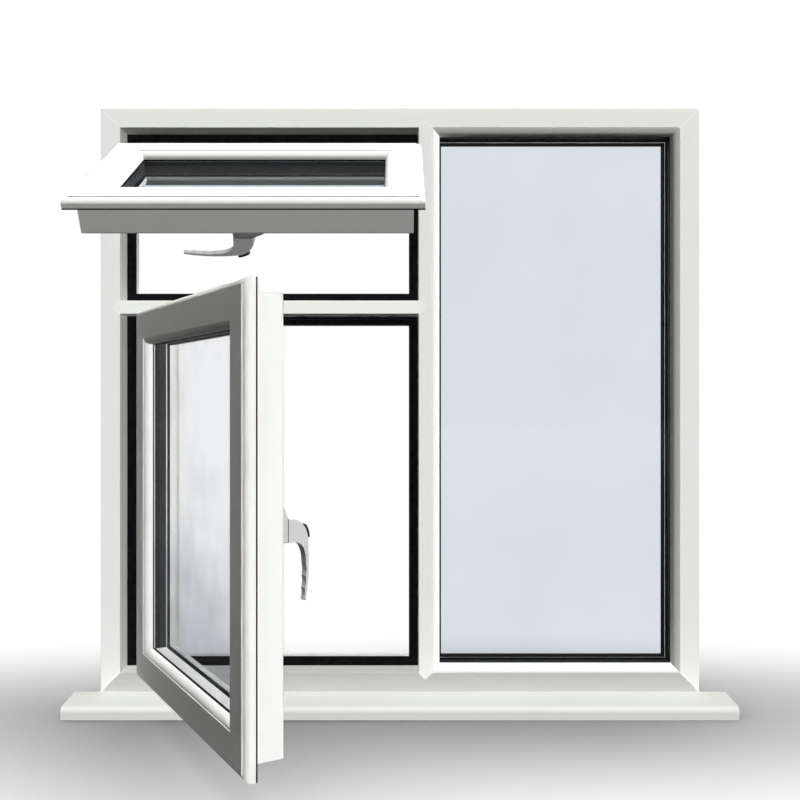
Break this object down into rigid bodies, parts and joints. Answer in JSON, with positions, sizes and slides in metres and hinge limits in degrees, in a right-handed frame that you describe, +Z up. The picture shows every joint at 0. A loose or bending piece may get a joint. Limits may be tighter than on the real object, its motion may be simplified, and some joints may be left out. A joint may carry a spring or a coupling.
{
  "type": "casement window with top-hung fanlight",
  "caption": "White window with a top-hung fanlight and a side-hung casement standing open on friction stays beside a fixed light, with lever handles and a projecting cill.",
  "frame": {"origin": "middle of the cill's underside, below the outer face of the frame", "axes": "+X right as seen from outside, +Y from the outside into the room, +Z up"},
  "size_m": [1.294, 0.6006, 1.19],
  "materials": {
    "white_plastic": "smooth satin",
    "glass": "clear, polished",
    "rubber": "matt black",
    "spacer": "dark satin",
    "stay_steel": "brushed",
    "handle": "satin white coating",
    "black_plastic": "matt black"
  },
  "bodies": {
    "window": {"casement_bottom_rail": "white_plastic", "casement_flange_seal": "rubber", "casement_gaskets": "rubber", "casement_glass": "glass", "casement_handle_base": "handle", "casement_inside_beads": "white_plastic", "casement_left_stile": "white_plastic", "casement_right_stile": "white_plastic", "casement_sash_arms": "stay_steel", "casement_spacer": "spacer", "casement_stay_arms": "stay_steel", "casement_stay_shoes": "stay_steel", "casement_stay_tracks": "stay_steel", "casement_stop_seal": "rubber", "casement_top_rail": "white_plastic", "cill_board": "white_plastic", "cill_left_cap": "white_plastic", "cill_right_cap": "white_plastic", "fanlight_bottom_rail": "white_plastic", "fanlight_flange_seal": "rubber", "fanlight_gaskets": "rubber", "fanlight_glass": "glass", "fanlight_handle_base": "handle", "fanlight_inside_beads": "white_plastic", "fanlight_left_stile": "white_plastic", "fanlight_right_stile": "white_plastic", "fanlight_sash_arms": "stay_steel", "fanlight_spacer": "spacer", "fanlight_stay_arms": "stay_steel", "fanlight_stay_shoes": "stay_steel", "fanlight_stay_tracks": "stay_steel", "fanlight_stop_seal": "rubber", "fanlight_top_rail": "white_plastic", "fixed_bottom_bead": "white_plastic", "fixed_gaskets": "rubber", "fixed_glass": "glass", "fixed_left_bead": "white_plastic", "fixed_right_bead": "white_plastic", "fixed_spacer": "spacer", "fixed_top_bead": "white_plastic", "frame_head": "white_plastic", "frame_left_jamb": "white_plastic", "frame_right_jamb": "white_plastic", "frame_sill": "white_plastic", "mullion": "white_plastic", "transom": "white_plastic"},
    "fanlight_lever": {"fanlight_handle_lever": "handle", "fanlight_lever_pad": "black_plastic", "fanlight_lock_button": "black_plastic"},
    "casement_lever": {"casement_handle_lever": "handle", "casement_lever_pad": "black_plastic", "casement_lock_button": "black_plastic"}
  },
  "joints": [
    {"name": "fanlight_lever_turn", "type": "hinge", "parent": "window", "child": "fanlight_lever", "pos_m": [-0.25962, -0.25098, 0.90249], "axis": [0, 0.5, -0.866], "range_deg": [0, 90]},
    {"name": "casement_lever_turn", "type": "hinge", "parent": "window", "child": "casement_lever", "pos_m": [-0.18049, -0.46749, 0.42488], "axis": [0.866, 0.5, 0], "range_deg": [0, 90]}
  ]
}
